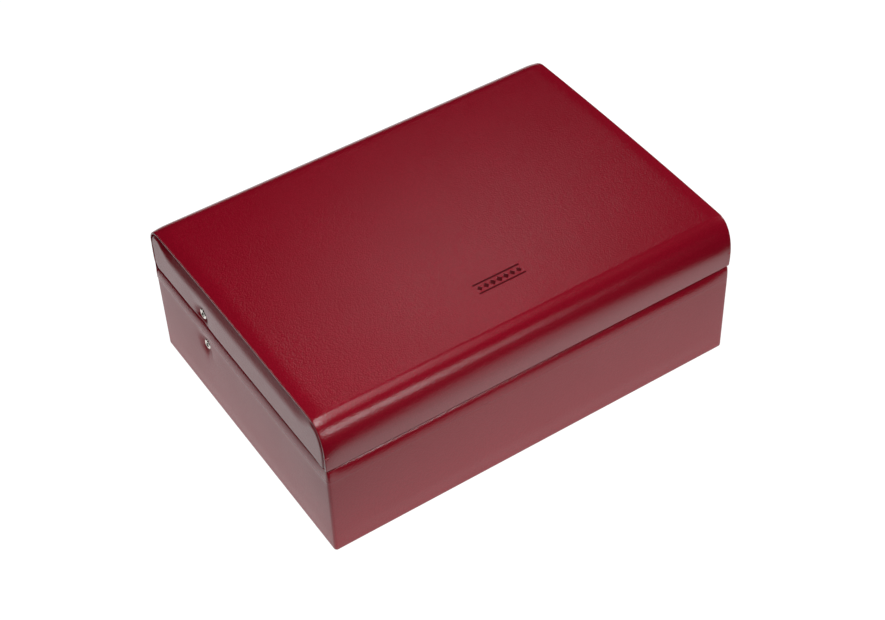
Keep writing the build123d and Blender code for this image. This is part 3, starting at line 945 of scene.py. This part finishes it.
def velvet_material(name, dark, light, pile):
    """Short-pile velvet: brushed patches, a soft sheen and a fine nap."""
    material, link, cloth, add = shader(name)
    where = place_in(add)
    nap = add("ShaderNodeTexNoise", Scale=pile, Detail=2.0, Roughness=0.6)
    brushed = add("ShaderNodeTexNoise", Scale=26.0, Detail=4.0, Roughness=0.55, Distortion=1.2)
    for node in (nap, brushed):
        link(where, node.inputs["Vector"])
    shade = added(add, link, nap.outputs["Fac"], 0.35, brushed.outputs["Fac"])
    colour = ramp(add, [(0.45, dark), (0.85, light)])
    link(shade, colour.inputs["Fac"])
    link(colour.outputs["Color"], cloth.inputs["Base Color"])
    bump = add("ShaderNodeBump", Strength=0.5, Distance=0.00012)
    link(nap.outputs["Fac"], bump.inputs["Height"])
    link(bump.outputs["Normal"], cloth.inputs["Normal"])
    cloth.inputs["Roughness"].default_value = 0.92
    cloth.inputs["Specular IOR Level"].default_value = 0.15
    cloth.inputs["Sheen Weight"].default_value = 0.55
    cloth.inputs["Sheen Roughness"].default_value = 0.35
    return material


def board_material():
    """Grey-brown fibreboard, with fibres lying along it."""
    material, link, board, add = shader("fibreboard")
    flat = add("ShaderNodeMapping")
    flat.inputs["Scale"].default_value = (0.3, 0.3, 1.0)
    fibres = add("ShaderNodeTexNoise", Scale=1800.0, Detail=5.0, Roughness=0.7)
    link(place_in(add), flat.inputs["Vector"])
    link(flat.outputs["Vector"], fibres.inputs["Vector"])
    colour = ramp(add, [(0.35, (0.21, 0.15, 0.10)), (0.65, (0.36, 0.27, 0.19))])
    link(fibres.outputs["Fac"], colour.inputs["Fac"])
    link(colour.outputs["Color"], board.inputs["Base Color"])
    bump = add("ShaderNodeBump", Strength=0.3, Distance=0.0001)
    link(fibres.outputs["Fac"], bump.inputs["Height"])
    link(bump.outputs["Normal"], board.inputs["Normal"])
    board.inputs["Roughness"].default_value = 0.85
    return material


VELVET_PILE = 2600.0
FELT_DARK = (0.018, 0.014, 0.014)
FELT_LIGHT = (0.05, 0.042, 0.04)
FELT_PILE = 1500.0


def leathers():
    """The leather of the cover, the pressed mark, the end panels, the base, and the mirror's frame."""
    cover = leather_material("wine_leather", COVER_GLOSS)
    return {
        "leather": cover,
        "burnished": leather_material("wine_leather_burnished", MARK_GLOSS, 0.3, specular=0.12),
        "panel_leather": leather_material("wine_leather_panels", PANEL_GLOSS),
        # The base's leather is the same leather made 1.07 times lighter: painted light on the base's faces.
        "base_leather": leather_material("wine_leather_base_painted_light", BASE_GLOSS, 1.07, BASE_TOP),
        "leather_trim": cover,
    }


def finishes():
    """The material of every slot in the record, and of the pieces made here."""
    return {
        **leathers(),
        "velvet": velvet_material("velvet_lining", (0.47, 0.37, 0.26), (0.66, 0.56, 0.43), VELVET_PILE),
        "velvet_rolls": velvet_material("velvet_rolls", (0.49, 0.39, 0.28), (0.69, 0.59, 0.46), VELVET_PILE),
        "board": board_material(),
        "bottom_cover": velvet_material("felt_underside", FELT_DARK, FELT_LIGHT, FELT_PILE),
        "mirror": mirror_material(),
        "nickel": metal_material("polished_nickel", (0.66, 0.62, 0.57), (0.12, 0.28), 900.0),
        # Near-black metal for the rivets' hollows: painted shade inside the bore.
        "rivet_bore": metal_material("bore_painted_shade", (0.10, 0.09, 0.085), (0.45, 0.65), 900.0),
        "steel": metal_material("plain_steel", (0.56, 0.56, 0.57), (0.30, 0.45), 500.0, (8, 1, 1)),
        "magnet": metal_material("plated_magnet", (0.62, 0.61, 0.60), (0.16, 0.32), 700.0),
        "brass_hinge": metal_material("brass", (0.80, 0.58, 0.28), (0.18, 0.36), 700.0, (0.2, 1, 1)),
    }


# ---------------------------------------------------------------- studio

CAMERA_PLACE = (-0.3920, -0.6302, 0.7661)
CAMERA_FORWARD = (0.3748, 0.6022, -0.7049)
CAMERA_RIGHT = (0.8325, -0.5533, -0.0300)
CAMERA_LENS = 74.7


def camera():
    """The camera at the picture's viewing angle."""
    data = bpy.data.cameras.new("camera")
    data.lens = CAMERA_LENS
    data.sensor_width = 36.0
    data.clip_start = 0.01
    shot = bpy.data.objects.new("camera", data)
    forward = Vector(CAMERA_FORWARD).normalized()
    right = Vector(CAMERA_RIGHT).normalized()
    up = right.cross(forward).normalized()
    right = forward.cross(up).normalized()
    turn = Matrix((right, up, -forward)).transposed().to_4x4()
    shot.matrix_world = Matrix.Translation(Vector(CAMERA_PLACE)) @ turn
    bpy.context.scene.collection.objects.link(shot)
    bpy.context.scene.camera = shot


AIM = (0.0, 0.0, 60.0)
SOFTBOX_DISTANCE = 1500.0
SURROUND = 0.012


def area_light(name, place, towards, width, height, radiance):
    """A rectangular light at a place, facing back along a direction, with the same brightness at any size."""
    data = bpy.data.lights.new(name, "AREA")
    data.shape = "RECTANGLE"
    data.size, data.size_y = width * MM, height * MM
    data.energy = radiance * math.pi * data.size * data.size_y
    light = bpy.data.objects.new(name, data)
    light.location = Vector(place) * MM
    light.rotation_euler = (-towards).to_track_quat("-Z", "Y").to_euler()
    bpy.context.scene.collection.objects.link(light)


def softbox(name, azimuth, elevation, width, height, radiance):
    """A light aimed at the case: azimuth from the back towards the right, and sizes in degrees."""
    across, up = math.radians(azimuth), math.radians(elevation)
    towards = Vector((math.cos(up) * math.sin(across), math.cos(up) * math.cos(across), math.sin(up)))
    place = Vector(AIM) + towards * SOFTBOX_DISTANCE
    wide, high = (2 * SOFTBOX_DISTANCE * math.tan(math.radians(size) / 2) for size in (width, height))
    area_light(name, place, towards, wide, high, radiance)


def long_light(name, span, y, z, height, radiance):
    """A light that lies along X over a span and faces the lid's front bend."""
    place = ((span[0] + span[1]) / 2, y, z)
    area_light(name, place, Vector((0, y, z - LID_SHOULDER)), span[1] - span[0], height, radiance)


# The table's corners: its edges run just outside the picture in front and at both sides, and far behind.
TABLE = ((-303, -35), (76, -298), (2400, 2178), (2400, 2400), (772, 2400))
TABLE_GLOW = 1.0
TABLE_WHITE = 0.10
TABLE_GAP = 0.1


def table():
    """A lit white table top that ends just outside the picture, a hair under the case."""
    material, _, paint, _ = shader("table_white")
    paint.inputs["Base Color"].default_value = (TABLE_WHITE, TABLE_WHITE, TABLE_WHITE, 1)
    paint.inputs["Emission Color"].default_value = (1, 1, 1, 1)
    paint.inputs["Emission Strength"].default_value = TABLE_GLOW
    paint.inputs["Roughness"].default_value = 0.9
    paint.inputs["Specular IOR Level"].default_value = 0.0
    corners = [(x, y, -TABLE_GAP) for x, y in TABLE]
    piece = new_object("table", corners, [tuple(range(len(corners)))], material, smooth=False)


def studio():
    """Studio light: a lit table, softboxes overhead and around, a weak card behind, and lights in front.

    The strip draws the bright line along the front bend, the card the soft one above it.
    """
    world = bpy.data.worlds.new("studio")
    world.use_nodes = True
    background = world.node_tree.nodes["Background"]
    background.inputs["Color"].default_value = (SURROUND, SURROUND, SURROUND, 1)
    bpy.context.scene.world = world
    softbox("overhead", 0, 89.9, 16, 16, 7.3)
    softbox("right", 84, 15, 20, 18, 19.0)
    softbox("left_low", 262, 20, 22, 18, 0.5)
    softbox("left_back", 316, 33, 16, 18, 4.5)
    softbox("back_card", 34.5, 48.5, 14, 11, 1.85)
    long_light("front_near", (-300, -90), -260, 545, 210, 10.5)
    long_light("front_strip", (-120, 292), -960, 325, 132, 12.4)
    long_light("front_card", (50, 415), -400, 1528, 960, 3.0)
    table()
    bpy.context.scene.view_settings.view_transform = "Standard"


def main():
    """Builds the whole scene."""
    camera()
    studio()
    finish = finishes()
    dress(finish)
    base_leather(finish["base_leather"])
    lid_leather(finish["leather"], finish["burnished"])
    for name, side in SIDES.items():
        end_panel(name, side, finish["panel_leather"])
    hinge_leather(finish["leather"])
    rivets(finish)
    ring_rolls(finish["velvet_rolls"])


main()
